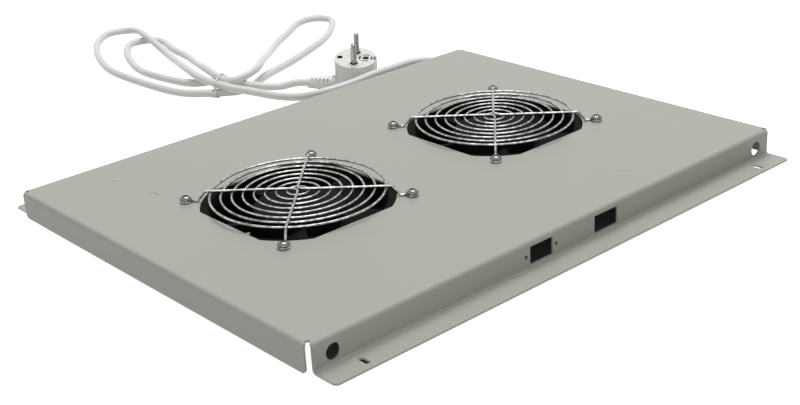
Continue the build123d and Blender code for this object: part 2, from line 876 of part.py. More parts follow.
def bundle_points():
    """The bundle's loops up to the plug: offsets from the hole, heights above the floor."""
    return [
        (-117, 56, 18),
        (-122.5, 75, 16),
        (-124.5, 94, 14.5),
        (-127.5, 115, 14),
        (-128.5, 136, 13.5),
        (-135.5, 178, 13.5),
        (-126.5, 218, 12),
        (-111.5, 251, 7),
        (-99.5, 282, 3.5),
        (-90.5, 309, 3.5),
        (-91.5, 334, 6),
        (-84.5, 357, 12),
        (-66.5, 377, 12),
        (-72.5, 402, 6),
        (-97.5, 410, 3.5),
        (-118.5, 389, 3.5),
        (-136.5, 360, 3.5),
        (-151.5, 328, 3.5),
        (-161.5, 294, 3.5),
        (-161.5, 257, 3.5),
        (-156.5, 219, 3.5),
        (-148.5, 184, 4.2),
        (-138.5, 153, 5.6),
        (-112.5, 141, 5.2),
        (-76.5, 157, 3.8),
        (-35.5, 177, 3.5),
        (4.5, 195, 3.5),
        (40.5, 214, 3.5),
        (71.5, 239, 3.5),
        (89.5, 263, 3.5),
        (83.5, 288, 3.5),
        (58.5, 294, 3.5),
        (29.5, 271, 3.5),
        (0.5, 238, 4.5),
        (-41.5, 197, 9),
        (-74.5, 155, 17),
        (-102.5, 136, 21.5),
        (-126.5, 148, 22),
        (-129.5, 182, 20.5),
        (-107.5, 225, 9),
        (-90.5, 270, 3.5),
        (-82.5, 310, 3.5),
        (-61.5, 336, 3.5),
        (-69.5, 362, 3.5),
        (-96.5, 366, 3.5),
        (-115.5, 341, 3.5),
        (-131.5, 307, 3.5),
        (-144.5, 271, 3.5),
        (-143.5, 232, 3.5),
        (-131.5, 198, 3.5),
        (-124.5, 171, 6),
        (-119.5, 148, 13.5),
        (-114.5, 124, 13),
        (-95.5, 112.5, 9.5),
    ]


def cord_route():
    """Route of the jacket's centre line: out of the back side, round the tied bundle, to the plug."""
    boot_end = plug_neck_reach + boot_length
    route = [(cord_hole_x, jacket_end_y, hole_z)]
    route += [beside_hole(x, y, hole_z + rise) for x, y, rise in leaving_points()]
    route += [beside_hole(*point) for point in bundle_points()]
    route.append(plug_point(boot_end + cord_end_run, 0, -boot_axis))
    route.append(plug_point(boot_end, 0, -boot_axis))
    return route


def corner_radii(points):
    """Radius at each corner of the route: an equal share of the shorter run, tangent to both."""
    radii = []
    for before, here, after in zip(points, points[1:], points[2:]):
        first = Vector(here) - Vector(before)
        second = Vector(after) - Vector(here)
        turn = radians(first.get_angle(second))
        shorter = min(first.length, second.length)
        radii.append(corner_share * shorter / tan(turn / 2))
    return radii


def cord_path():
    """Centre line of the jacket: straight runs joined by tangent arcs."""
    points = cord_route()
    return FilletPolyline(*points, radius=corner_radii(points))


def mains_cord():
    """Round jacket along the whole route."""
    path = cord_path()
    start = Plane(origin=path @ 0, z_dir=path % 0)
    cord = sweep(start * Circle(cord_radius), path=path)
    section = pi * cord_radius**2
    print("cord corner radii", [round(r, 1) for r in corner_radii(cord_route())])
    print("cord length", round(path.length, 1))
    print("cord volume", round(cord.volume), "section times length", round(section * path.length))
    return cord


def cord_cores():
    """Three insulated cores from the end of the jacket into the terminal block."""
    cores = []
    end_y = block_y + block_width / 2
    for x, angle in zip(pole_x(), (210, 90, 330)):
        start_x = cord_hole_x + core_ring * cos(radians(angle))
        start_z = hole_z + core_ring * sin(radians(angle))
        points = [
            (start_x, jacket_end_y, start_z),
            (start_x, jacket_end_y - core_straight, start_z),
            (x, end_y + core_straight, wire_bore_z),
            (x, end_y - core_reach, wire_bore_z),
        ]
        path = FilletPolyline(*points, radius=core_bend)
        start = Plane(origin=path @ 0, z_dir=path % 0)
        cores.append(sweep(start * Circle(core_radius), path=path))
    return cores


def tie_crossings(plane):
    """Places where the cord's centre line crosses the tie's plane, in that plane."""
    places = []
    for vertex in plane.intersect(cord_path()).vertices():
        local = plane.to_local_coords(Vector(vertex))
        if local.length < tie_reach:
            places.append((local.X, local.Y))
    return places


def cord_tie():
    """Band pulled round the strands of the bundle, with its lock and cut tail."""
    heading = radians(tie_heading)
    along = Vector(cos(heading), sin(heading), 0)
    across = Vector(sin(heading), -cos(heading), 0)
    plane = Plane(origin=beside_hole(*tie_place, 0), x_dir=across, z_dir=-along)
    places = []
    for offset in (-tie_width / 2, tie_width / 2):
        places += tie_crossings(plane.offset(offset))
    inside = cord_radius + tie_gap
    shapes = []
    for radius in (inside + tie_thickness, inside):
        circles = Curve() + [Pos(*place) * Edge.make_circle(radius) for place in places]
        shapes.append(make_hull(circles.edges()))
    band = extrude(plane * (shapes[0] - shapes[1]), amount=tie_width / 2, both=True)
    near_x, near_z = min(places)
    outside = near_x - inside - tie_thickness
    lock = fillet(Box(*lock_size).edges(), lock_fillet)
    lock = Pos(outside + lock_sink - lock_size[0] / 2, near_z, 0) * lock
    tail = Box(tie_thickness, tail_length, tie_width)
    tail_z = near_z + (lock_size[1] + tail_length) / 2 - lock_sink
    tail = Pos(outside - lock_size[0] / 2, tail_z, 0) * tail
    return band + plane.location * (lock + tail)


def write(name, solids):
    """Write one node: a single solid or a group of like solids."""
    group = solids if isinstance(solids, list) else [solids]
    flat = [solid for shape in group for solid in shape.solids()]
    export_step(Compound(flat), f"parts/{name}.step")


def write_fan(side, x):
    """Write every node of one fan and its guard."""
    place = Pos(x, 0, 0)
    screws, washers, nuts = fan_fasteners()
    holder_turn = Rot(0, 0, 45)
    pieces = {
        "fan_frame": fan_frame(),
        "bearings": bearings(),
        "stator_core": stator_core(),
        "stator_windings": stator_windings(),
        "terminal_holder": holder_turn * terminal_holder(),
        "blade_terminals": [holder_turn * blade for blade in terminal_blades()],
        "impeller": impeller(),
        "rotor_ring": rotor_ring(),
        "shaft": shaft(),
        "shaft_clip": shaft_clip(),
        "thrust_washer": thrust_ring(),
        "guard": guard(),
        "guard_screws": screws,
        "lock_washers": washers,
        "fan_nuts": nuts,
    }
    for name, shape in pieces.items():
        group = shape if isinstance(shape, list) else [shape]
        write(f"{name}_{side}", [place * solid for solid in group])


def write_plug():
    """Write the plug's nodes in their place beside the tray."""
    place = plug_plane().location
    pieces = {
        "plug_body": [plug_body()],
        "plug_pins": plug_pins(),
        "plug_earth_contacts": plug_earth_contacts(),
        "plug_strain_relief": [plug_strain_relief()],
    }
    for name, group in pieces.items():
        write(name, [place * solid for solid in group])


os.makedirs("parts", exist_ok=True)
write("tray_panel", tray_panel())
for side_name, side_x in fan_x.items():
    write_fan(side_name, side_x)
write("cable_bushing", cable_bushing())
write("terminal_block", terminal_block())
write("clamping_screws", clamping_screws())
write("weld_studs", weld_studs())
write("stud_nuts", stud_nuts())
write("earth_washer", earth_washer())
write("mains_cord", mains_cord())
write("cord_cores", cord_cores())
write("cord_tie", cord_tie())
write_plug()
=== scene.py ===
import json
from math import cos, pi, radians, sin, sqrt, tan

import bmesh
import bpy
from mathutils import Matrix, Vector
from mathutils.geometry import convex_hull_2d, interpolate_bezier

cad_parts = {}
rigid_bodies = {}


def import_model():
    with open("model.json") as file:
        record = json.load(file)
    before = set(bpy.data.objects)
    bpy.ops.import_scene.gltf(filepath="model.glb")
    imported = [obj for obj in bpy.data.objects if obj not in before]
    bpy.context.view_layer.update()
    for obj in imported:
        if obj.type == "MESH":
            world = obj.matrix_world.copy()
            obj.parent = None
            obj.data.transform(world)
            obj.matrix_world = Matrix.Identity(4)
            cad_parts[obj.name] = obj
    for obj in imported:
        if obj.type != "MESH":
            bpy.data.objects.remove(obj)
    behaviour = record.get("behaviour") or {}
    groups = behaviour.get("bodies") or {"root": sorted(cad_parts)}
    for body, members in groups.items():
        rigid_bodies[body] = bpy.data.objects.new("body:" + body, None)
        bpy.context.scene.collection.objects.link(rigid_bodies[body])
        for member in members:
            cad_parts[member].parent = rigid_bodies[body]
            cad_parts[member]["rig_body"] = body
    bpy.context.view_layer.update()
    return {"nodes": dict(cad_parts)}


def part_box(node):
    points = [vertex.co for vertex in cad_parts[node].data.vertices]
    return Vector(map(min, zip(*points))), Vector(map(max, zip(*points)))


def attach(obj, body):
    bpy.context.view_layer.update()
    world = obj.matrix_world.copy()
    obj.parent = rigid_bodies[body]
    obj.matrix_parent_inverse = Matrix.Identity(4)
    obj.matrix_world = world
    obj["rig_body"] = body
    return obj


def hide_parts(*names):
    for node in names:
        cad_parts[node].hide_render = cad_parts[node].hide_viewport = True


bl_info = {
    "name": "Rack fan tray",
    "version": (1, 0, 0),
    "blender": (4, 5, 0),
    "location": "View3D > Sidebar > Fan tray",
    "description": "Folded steel fan tray with wire guards, mains fans and a bundled mains cord",
    "category": "Object",
}

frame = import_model()
nodes = frame["nodes"]
mm = 0.001
merge_reach = 0.001 * mm

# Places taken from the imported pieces
panel_low, panel_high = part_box("tray_panel")
guard_low, guard_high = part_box("guard_left")
duct_low, duct_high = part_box("fan_frame_left")
right_duct_low, right_duct_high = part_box("fan_frame_right")
fan_places = {
    "left": (duct_low + duct_high) / 2,
    "right": (right_duct_low + right_duct_high) / 2,
}

# Wire guards
ring_count = 8
ring_pitch = 7.15 * mm
ring_wire = 0.8 * mm
leg_wire = 0.84 * mm
weld_sink = 0.15 * mm
screw_reach = 52.4 * mm
eye_radius = 3.02 * mm
leg_step_high = 61.0 * mm
leg_step_low = 66.2 * mm
apex_offset = -0.7 * mm
apex_bend = 10.5 * mm
step_bend = 1.6 * mm

# Plug, in its own frame: x towards the cord, y along the pins' line, z out of the face
plug_face = Vector((140.2, 215.2, 36.02)) * mm
plug_heading = radians(131.0)
plug_tilt = radians(11.8)
plug_roll = radians(3.4)
boot_axis = 26.5 * mm
boot_end = 43.0 * mm
cord_end_run = 10.0 * mm
# Depth band and reach of the painted shade on the recess floors
recess_depth = 2.4 * mm
recess_reach = 16.5 * mm

# Tie round the bundle
tie_place = Vector((66.0, 313.0, 0.0)) * mm
tie_heading = radians(112.0)
tie_reach = 45.0 * mm
tie_width = 2.4 * mm
tie_thickness = 0.8 * mm
tie_gap = 0.25 * mm
lock_size = Vector((3.4, 4.6, 4.2)) * mm
tail_length = 3.5 * mm
tail_sink = 0.2 * mm
band_steps = 24
tie_edge = 0.2 * mm

# Small marks of handling on the plate: place, then reach, in mm
handling_marks = (
    (-148.6, 80.5, 0.9, 4.6),
    (-150.4, 84.6, 2.2, 0.7),
    (-155.7, 122.2, 1.6, 1.1),
    (81.0, -128.7, 1.8, 0.9),
)

# Patterns that repeat
lamination_pitch = 0.5 * mm
winding_pitch = 0.6 * mm
turning_pitch = 0.35 * mm
stripe_pitch = 2.2 * mm
parting_line = 0.3 * mm

# Floor: where the painted shadow beneath the tray begins, and the pale glowing strip left in that
# painted shadow behind the near corner's gap
floor_drop = 0.05 * mm
painted_shadow_edge_x = (0.168, 0.179)
painted_shadow_edge_y = (0.139, 0.143)
wall_y = 0.156
strip_across = (0.804, 0.595)
strip_edge = (0.0035, 0.0045)
strip_end = (-0.158, -0.154)

# Lamps
soft_lamp_size = (1.6, 1.2)
soft_lamp_place = (0.45, 0.3, 2.2)
near_lamp_size = (0.5, 0.5)
near_lamp_place = (-0.75, -0.75, 0.45)

# Camera, fitted to the photograph
camera_place = Vector((-563.99, -647.58, 377.45)) * mm
camera_view = Vector((0.600329, 0.694705, -0.39622))
camera_right = Vector((0.740296, -0.67016, -0.053362))
camera_lens = 60.14

# Control points of the jacket's centre line, in metres, from inside the back side towards the plug
cord_points = [
    (0.1915, 0.1515, 0.029),
    (0.1915, 0.1675, 0.029),
    (0.1875, 0.1805, 0.0285),
    (0.178, 0.187, 0.028),
    (0.16, 0.1885, 0.027),
    (0.14, 0.189, 0.027),
    (0.122, 0.1895, 0.0255),
    (0.105, 0.191, 0.024),
    (0.087, 0.197, 0.022),
    (0.0745, 0.212, 0.018),
    (0.069, 0.231, 0.016),
    (0.067, 0.25, 0.0145),
    (0.064, 0.2705, 0.014),
    (0.06, 0.294, 0.0125),
    (0.0565, 0.334, 0.014),
    (0.0665, 0.3735, 0.014),
    (0.081, 0.4065, 0.008),
    (0.0935, 0.438, 0.0035),
    (0.102, 0.466, 0.0035),
    (0.104, 0.489, 0.0095),
    (0.108, 0.5125, 0.0112),
    (0.1165, 0.533, 0.0085),
    (0.1175, 0.5535, 0.006),
    (0.096, 0.5655, 0.0055),
    (0.073, 0.5465, 0.0035),
    (0.055, 0.5155, 0.0035),
    (0.042, 0.484, 0.0035),
    (0.0325, 0.452, 0.0035),
    (0.032, 0.4145, 0.0035),
    (0.034, 0.372, 0.0035),
    (0.0395, 0.338, 0.0035),
    (0.0545, 0.308, 0.0065),
    (0.0795, 0.2965, 0.0045),
    (0.113, 0.315, 0.006),
    (0.1575, 0.335, 0.0035),
    (0.1965, 0.353, 0.0035),
    (0.232, 0.3715, 0.0035),
    (0.2615, 0.3975, 0.0035),
    (0.2805, 0.42, 0.0035),
    (0.2735, 0.4405, 0.0035),
    (0.2495, 0.4405, 0.0035),
    (0.2235, 0.4195, 0.0035),
    (0.19, 0.3945, 0.006),
    (0.148, 0.355, 0.0105),
    (0.113, 0.3155, 0.0215),
    (0.0885, 0.291, 0.0225),
    (0.0635, 0.2995, 0.014),
    (0.064, 0.3375, 0.022),
    (0.0855, 0.3805, 0.011),
    (0.1045, 0.4275, 0.005),
    (0.111, 0.4655, 0.0035),
    (0.1205, 0.491, 0.0035),
    (0.1185, 0.512, 0.0035),
    (0.096, 0.52, 0.0035),
    (0.0765, 0.4955, 0.0035),
    (0.0615, 0.463, 0.0035),
    (0.0505, 0.428, 0.0035),
    (0.05, 0.3915, 0.005),
    (0.06, 0.3545, 0.0035),
    (0.0685, 0.3285, 0.01),
    (0.078, 0.3035, 0.011),
    (0.077, 0.28, 0.013),
    (0.096, 0.2685, 0.0095),
]


class Wire:
    """An output socket of a shader, with the arithmetic that a pattern needs."""

    def __init__(self, tree, socket):
        self.tree = tree
        self.socket = socket

    def calculate(self, operation, first, second=0.0):
        """Add one Math node for two wires or numbers."""
        node = self.tree.nodes.new("ShaderNodeMath")
        node.operation = operation
        join(self.tree, node.inputs[0], first)
        join(self.tree, node.inputs[1], second)
        return Wire(self.tree, node.outputs[0])

    def __add__(self, other):
        return self.calculate("ADD", self, other)

    def __radd__(self, other):
        return self.calculate("ADD", other, self)

    def __sub__(self, other):
        return self.calculate("SUBTRACT", self, other)

    def __mul__(self, other):
        return self.calculate("MULTIPLY", self, other)

    def __rmul__(self, other):
        return self.calculate("MULTIPLY", other, self)

    def __truediv__(self, other):
        return self.calculate("DIVIDE", self, other)

    def __pow__(self, other):
        return self.calculate("POWER", self, other)

    def at_least(self, other):
        return self.calculate("MAXIMUM", self, other)

    def wave(self):
        return self.calculate("SINE", self)

    def size(self):
        return self.calculate("ABSOLUTE", self)


def join(tree, entry, value):
    """Link a wire to a socket, or set the socket to a plain value."""
    if isinstance(value, Wire):
        tree.links.new(value.socket, entry)
    else:
        entry.default_value = value


class Finish:
    """One procedural material, built on the principled shader."""

    def __init__(self, name, colour, roughness, metallic=0.0, coat=0.0):
        self.material = bpy.data.materials.new(name)
        self.material.use_nodes = True
        self.tree = self.material.node_tree
        self.shader = self.tree.nodes["Principled BSDF"]
        self.colour = (*colour, 1.0)
        self.set("Base Color", self.colour)
        self.set("Roughness", roughness)
        self.set("Metallic", metallic)
        self.set("Coat Weight", coat)

    def set(self, name, value):
        """Set or link one socket of the shader."""
        join(self.tree, self.shader.inputs[name], value)

    def node(self, kind, settings=None, inputs=None, output=0):
        """Add one node: its settings first, then the values or links of its sockets."""
        node = self.tree.nodes.new("ShaderNode" + kind)
        for name, value in (settings or {}).items():
            setattr(node, name, value)
        sockets = {entry.identifier: entry for entry in node.inputs}
        for name, value in (inputs or {}).items():
            join(self.tree, sockets[name], value)
        return Wire(self.tree, node.outputs[output])

    def place(self, scale=(1.0, 1.0, 1.0)):
        """Object coordinates, stretched for a pattern."""
        coordinates = self.node("TexCoord", output=3)
        return self.node("Mapping", {}, {"Vector": coordinates, "Scale": scale})

    def axis(self, letter):
        """One Object coordinate as a number in metres."""
        coordinates = self.node("TexCoord", output=3)
        return self.node("SeparateXYZ", {}, {"Vector": coordinates}, "XYZ".index(letter))

    def noise(self, scale, detail=3.0, roughness=0.55, place=None):
        """Cloudy noise from 0 to 1."""
        inputs = {"Scale": scale, "Detail": detail, "Roughness": roughness}
        inputs["Vector"] = place or self.place()
        return self.node("TexNoise", {}, inputs)

    def between(self, value, low, high, first=0.0, last=1.0):
        """Smooth step of a value between two limits."""
        settings = {"interpolation_type": "SMOOTHSTEP"}
        inputs = {"Value": value, "From Min": low, "From Max": high, "To Min": first, "To Max": last}
        return self.node("MapRange", settings, inputs)

    def mix(self, amount, first, second):
        """Colour between two colours."""
        settings = {"data_type": "RGBA"}
        inputs = {"Factor_Float": amount, "A_Color": first, "B_Color": second}
        return self.node("Mix", settings, inputs, 2)

    def shade(self, amount, dark, light):
        """The finish's own colour, varied between two brightness factors."""
        first = tuple(c * dark for c in self.colour[:3]) + (1.0,)
        second = tuple(min(c * light, 1.0) for c in self.colour[:3]) + (1.0,)
        return self.mix(amount, first, second)

    def bump(self, height, distance):
        """Relief from a height pattern, its depth in metres."""
        inputs = {"Height": height, "Distance": distance, "Strength": 1.0}
        self.set("Normal", self.node("Bump", {}, inputs))


def paint(settings):
    """Light grey powder paint: fine grain, faint clouds and a few marks of handling."""
    finish = Finish("tray_paint", settings.colour, settings.roughness)
    finish.set("Specular IOR Level", 0.3)
    cloud = finish.noise(9.0, 4.0)
    marks = mark(finish, *handling_marks[0])
    for place in handling_marks[1:]:
        marks = marks.at_least(mark(finish, *place))
    worn = finish.mix(marks * 0.55, finish.shade(cloud, 0.97, 1.02), (0.12, 0.12, 0.11, 1.0))
    finish.set("Base Color", worn)
    finish.set("Roughness", settings.roughness - 0.05 + 0.1 * finish.noise(40.0))
    peel = finish.noise(520.0, 2.0) * 0.7 + finish.noise(2400.0, 2.0) * 0.3
    finish.bump(peel, 0.04 * mm)
    return finish.material


def mark(finish, x, y, reach_x, reach_y):
    """Mask of one small mark on the plate, 1 in its middle."""
    across = (finish.axis("X") - x * mm) / (reach_x * mm)
    along = (finish.axis("Y") - y * mm) / (reach_y * mm)
    on_top = finish.between(finish.axis("Z"), panel_high.z - 1.0 * mm, panel_high.z - 0.4 * mm)
    return finish.between(across * across + along * along, 0.4, 1.0, 1.0, 0.0) * on_top


def die_cast():
    """Black paint on die-cast metal, slightly pebbled."""
    finish = Finish("die_cast_black", (0.012, 0.012, 0.012), 0.5)
    finish.set("Specular IOR Level", 0.01)
    finish.set("Roughness", 0.44 + 0.16 * finish.noise(220.0))
    finish.bump(finish.noise(900.0, 4.0), 0.05 * mm)
    return finish.material


def blade_moulding():
    """Satin dark plastic of the impellers, with faint flow marks."""
    finish = Finish("blade_plastic", (0.014, 0.014, 0.015), 0.55)
    finish.set("Specular IOR Level", 0.03)
    finish.set("Base Color", finish.shade(finish.noise(60.0), 0.8, 1.3))
    finish.set("Roughness", 0.5 + 0.14 * finish.noise(150.0))
    finish.bump(finish.noise(1500.0, 3.0), 0.02 * mm)
    return finish.material


def plating():
    """Bright plating on drawn wire, its colour dimmed as a painted reflection of dark surroundings, with
    painted glints and a little cloudiness from noise.
    """
    finish = Finish("bright_plating", (0.38, 0.38, 0.37), 0.16, metallic=1.0)
    haze_and_glints = finish.noise(300.0, 4.0)
    # Noise in the colour paints bright glints and darker patches along the wire; the same noise varies
    # the roughness
    finish.set("Base Color", finish.shade(finish.between(haze_and_glints, 0.38, 0.62), 0.65, 1.4))
    finish.set("Roughness", 0.1 + 0.16 * haze_and_glints)
    finish.bump(finish.noise(1800.0, 3.0), 0.01 * mm)
    return finish.material


def screw_plating():
    """Nickel of the screws, its colour darkened as a painted reflection of dark surroundings, with
    painted glints from noise in its colour.
    """
    finish = Finish("screw_nickel", (0.17, 0.17, 0.16), 0.14, metallic=1.0)
    # Painted glints: noise lightens and darkens the heads' colour
    finish.set("Base Color", finish.shade(finish.noise(500.0, 4.0), 0.6, 1.5))
    finish.set("Roughness", 0.08 + 0.16 * finish.noise(300.0))
    finish.bump(finish.noise(900.0, 3.0), 0.03 * mm)
    return finish.material


def zinc():
    """Plain zinc plating of nuts, washers, studs and shafts."""
    finish = Finish("zinc_steel", (0.58, 0.58, 0.56), 0.34, metallic=1.0)
    finish.set("Base Color", finish.shade(finish.noise(140.0), 0.85, 1.12))
    finish.set("Roughness", 0.26 + 0.18 * finish.noise(420.0, 4.0))
    finish.bump(finish.noise(2600.0, 2.0), 0.008 * mm)
    return finish.material


def laminations():
    """Stacked steel sheets, seen as fine level lines."""
    finish = Finish("laminated_steel", (0.32, 0.32, 0.33), 0.4, metallic=0.9)
    lines = (finish.axis("Z") * (2 * pi / lamination_pitch)).wave() * 0.5 + 0.5
    finish.set("Base Color", finish.shade(lines, 0.7, 1.15))
    finish.set("Roughness", 0.34 + 0.2 * finish.noise(300.0))
    finish.bump(lines, 0.03 * mm)
    return finish.material


def windings(side):
    """Enamelled copper wire, laid in turns round each pole."""
    finish = Finish(f"winding_copper_{side}", (0.52, 0.20, 0.08), 0.3, metallic=0.85)
    across = finish.axis("X") - fan_places[side].x
    along = finish.axis("Y") - fan_places[side].y
    reach = (across * across + along * along) ** 0.5
    turns = (reach * (2 * pi / winding_pitch)).wave() * 0.5 + 0.5
    finish.set("Base Color", finish.shade(turns, 0.55, 1.25))
    finish.set("Roughness", 0.24 + 0.14 * finish.noise(400.0))
    finish.bump(turns, 0.12 * mm)
    return finish.material


def black_moulding():
    """Black technical plastic with a fine spark texture."""
    finish = Finish("black_plastic", (0.02, 0.02, 0.021), 0.5)
    finish.set("Roughness", 0.42 + 0.16 * finish.noise(240.0))
    finish.bump(finish.noise(1700.0, 3.0), 0.03 * mm)
    return finish.material


def pale_moulding():
    """Off-white plastic of the terminal block."""
    finish = Finish("block_plastic", (0.70, 0.67, 0.58), 0.42)
    finish.set("Base Color", finish.shade(finish.noise(90.0), 0.94, 1.04))
    finish.set("Roughness", 0.36 + 0.12 * finish.noise(260.0))
    finish.bump(finish.noise(1400.0, 3.0), 0.02 * mm)
    return finish.material


def tinned_brass():
    """Tinned contact strip with drawing marks."""
    finish = Finish("tinned_brass", (0.72, 0.66, 0.50), 0.26, metallic=1.0)
    grain = finish.noise(260.0, 3.0, 0.6, finish.place(scale=(1.0, 1.0, 0.1)))
    finish.set("Base Color", finish.shade(grain, 0.8, 1.1))
    finish.set("Roughness", 0.18 + 0.2 * grain)
    finish.bump(grain, 0.01 * mm)
    return finish.material


def pin_plating():
    """Nickel of the plug's pins, with rings from turning."""
    finish = Finish("pin_nickel", (0.34, 0.33, 0.30), 0.2, metallic=1.0)
    rings = (finish.axis("Z") * (2 * pi / turning_pitch)).wave() * 0.5 + 0.5
    finish.set("Base Color", finish.shade(finish.noise(200.0), 0.8, 1.15))
    finish.set("Roughness", 0.14 + 0.1 * rings)
    finish.bump(rings, 0.008 * mm)
    return finish.material


def jacket(settings):
    """White cord jacket: soft sheen, slight unevenness from extrusion."""
    finish = Finish("white_jacket", settings.colour, 0.36, coat=0.1)
    finish.set("Base Color", finish.shade(finish.noise(26.0), 0.95, 1.03))
    finish.set("Roughness", 0.3 + 0.14 * finish.noise(180.0))
    finish.bump(finish.noise(420.0, 3.0), 0.05 * mm)
    return finish.material


def plug_moulding(settings):
    """White plug plastic with a fine texture, its mould's parting line, and painted shade on the floors
    of the recesses in its face.
    """
    finish = Finish("white_moulding", settings.colour, 0.34, coat=0.1)
    place = finish.node("TexCoord", output=3)
    plane = plug_matrix()
    middle = plane.to_3x3().col[0].dot(plug_face)
    inputs = {"Vector": place, "Vector_001": tuple(plane.to_3x3().col[0])}
    across = finish.node("VectorMath", {"operation": "DOT_PRODUCT"}, inputs, 1) - middle
    line = finish.between(across * across, 0.0, parting_line**2, 1.0, 0.0)
    base = finish.shade(finish.noise(30.0), 0.96, 1.03)
    base = finish.mix(line * 0.3, base, (0.3, 0.3, 0.28, 1.0))
    recess_painted_shade = recess_painted_shade_mask(finish, place, plane)
    # The recess floors are painted near black: painted shade that stands for their depth
    finish.set("Base Color", finish.mix(recess_painted_shade, base, (0.03, 0.03, 0.03, 1.0)))
    finish.set("Roughness", 0.3 + 0.12 * finish.noise(200.0))
    finish.bump(finish.noise(1600.0, 3.0) * 0.2 - line, 0.1 * mm)
    return finish.material


def recess_painted_shade_mask(finish, place, plane):
    """Mask of the painted shade on the plug's face: 1 on the floors of the recesses, painted near black
    to stand for their depth.
    """
    local = []
    for i in range(3):
        direction = plane.to_3x3().col[i]
        inputs = {"Vector": place, "Vector_001": tuple(direction)}
        product = finish.node("VectorMath", {"operation": "DOT_PRODUCT"}, inputs, 1)
        local.append(product - direction.dot(plug_face))
    reach = (local[0] * local[0] + local[1] * local[1]) ** 0.5
    inner = finish.between(reach, recess_reach, recess_reach + 0.5 * mm, 1.0, 0.0)
    below = finish.between(local[2], -0.5 * mm, -0.3 * mm, 1.0, 0.0)
    above = finish.between(local[2], -recess_depth - 0.2 * mm, -recess_depth)
    return inner * below * above


def tie_nylon():
    """Natural nylon, slightly yellow and waxy."""
    finish = Finish("tie_nylon", (0.84, 0.84, 0.80), 0.4)
    finish.set("Base Color", finish.shade(finish.noise(240.0), 0.92, 1.05))
    finish.set("Roughness", 0.34 + 0.14 * finish.noise(500.0))
    finish.bump(finish.noise(1800.0, 2.0), 0.02 * mm)
    return finish.material


def insulation(name, colour, stripe=None):
    """Coloured insulation of one core, with a stripe on the earth core."""
    finish = Finish(name, colour, 0.4)
    base = finish.shade(finish.noise(300.0), 0.88, 1.1)
    if stripe:
        wave = ((finish.axis("X") + finish.axis("Z")) * (2 * pi / stripe_pitch)).wave()
        base = finish.mix(finish.between(wave, -0.2, 0.2), base, (*stripe, 1.0))
    finish.set("Base Color", base)
    finish.set("Roughness", 0.34 + 0.14 * finish.noise(500.0))
    finish.bump(finish.noise(1200.0, 2.0), 0.02 * mm)
    return finish.material


def add_piece(name, mesh, finishes, body, replaced=()):
    """Put a finished mesh into the scene on its body."""
    piece = bpy.data.objects.new(name, mesh)
    bpy.context.scene.collection.objects.link(piece)
    mesh.materials.clear()
    for material in finishes:
        mesh.materials.append(material)
    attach(piece, body)
    if replaced:
        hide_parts(*replaced)
    return piece


def mesh_from(shape, name):
    """Turn a bmesh into a smooth-shaded mesh."""
    bmesh.ops.remove_doubles(shape, verts=shape.verts, dist=merge_reach)
    bmesh.ops.recalc_face_normals(shape, faces=shape.faces)
    for face in shape.faces:
        face.smooth = True
    mesh = bpy.data.meshes.new(name)
    shape.to_mesh(mesh)
    shape.free()
    return mesh


def node_body(node):
    """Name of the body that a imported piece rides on."""
    return nodes[node]["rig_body"]


def dress(node, finishes, crease=34.0, faces=None):
    """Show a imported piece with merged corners, smooth rounds, crisp edges and its finish."""
    shape = bmesh.new()
    shape.from_mesh(nodes[node].data)
    bmesh.ops.remove_doubles(shape, verts=shape.verts, dist=merge_reach)
    limit = radians(crease)
    for edge in shape.edges:
        edge.smooth = edge.calc_face_angle(pi) < limit
    for face in shape.faces:
        face.smooth = True
        face.material_index = faces(face) if faces else 0
    mesh = bpy.data.meshes.new(node + "_skin")
    shape.to_mesh(mesh)
    shape.free()
    piece = add_piece(node + "_skin", mesh, finishes, node_body(node), [node])
    weighted = piece.modifiers.new("even shading", "WEIGHTED_NORMAL")
    weighted.keep_sharp = True
    return piece


def rounded(points, reaches):
    """Open path with its inner corners rounded, each by its own reach along the runs."""
    path = [Vector(points[0])]
    for before, here, after, reach in zip(points, points[1:], points[2:], reaches):
        here = Vector(here)
        start = here + (Vector(before) - here).normalized() * reach
        end = here + (Vector(after) - here).normalized() * reach
        path += interpolate_bezier(start, here, here, end, 7)
    return path + [Vector(points[-1])]


def add_wire(shape, path, radius):
    """Sweep a round wire along a path and add it to a bmesh."""
    curve = bpy.data.curves.new("wire", "CURVE")
    curve.dimensions = "3D"
    curve.bevel_depth = radius
    curve.bevel_resolution = 3
    curve.use_fill_caps = True
    spline = curve.splines.new("POLY")
    spline.points.add(len(path) - 1)
    for point, place in zip(spline.points, path):
        point.co = (*place, 1.0)
    holder = bpy.data.objects.new("wire", curve)
    mesh = bpy.data.meshes.new_from_object(holder)
    shape.from_mesh(mesh)
    bpy.data.objects.remove(holder)
    bpy.data.curves.remove(curve)
    bpy.data.meshes.remove(mesh)


def add_ring(shape, centre, radius, wire, steps, sides):
    """Spin a small circle into a wire ring."""
    turn = Matrix.Translation(centre + Vector((radius, 0, 0))) @ Matrix.Rotation(pi / 2, 4, "X")
    made = bmesh.ops.create_circle(shape, segments=sides, radius=wire, matrix=turn)
    edges = {edge for vert in made["verts"] for edge in vert.link_edges}
    bmesh.ops.spin(
        shape,
        geom=made["verts"] + list(edges),
        cent=centre,
        axis=(0, 0, 1),
        angle=2 * pi,
        steps=steps,
        use_merge=True,
    )


def plug_matrix():
    """Place of the plug's own frame in the part's frame."""
    along = Vector((cos(plug_heading), sin(plug_heading), 0))
    across = Vector((-sin(plug_heading), cos(plug_heading), 0))
    lean = across * tan(plug_tilt) - along * tan(plug_roll)
    normal = (Vector((0, 0, 1)) + lean).normalized()
    level = (along - normal * along.dot(normal)).normalized()
    turn = Matrix((level, normal.cross(level), normal)).transposed().to_4x4()
    return Matrix.Translation(plug_face) @ turn


class PanelSettings(bpy.types.PropertyGroup):
    """Finish of the folded panel."""

    colour: bpy.props.FloatVectorProperty(
        name="Paint colour", description="Colour of the powder paint", subtype="COLOR",
        default=(0.47, 0.48, 0.425), min=0.0, max=1.0,
    )
    roughness: bpy.props.FloatProperty(
        name="Paint roughness", description="Mean roughness of the paint", default=0.42, min=0.0, max=1.0
    )


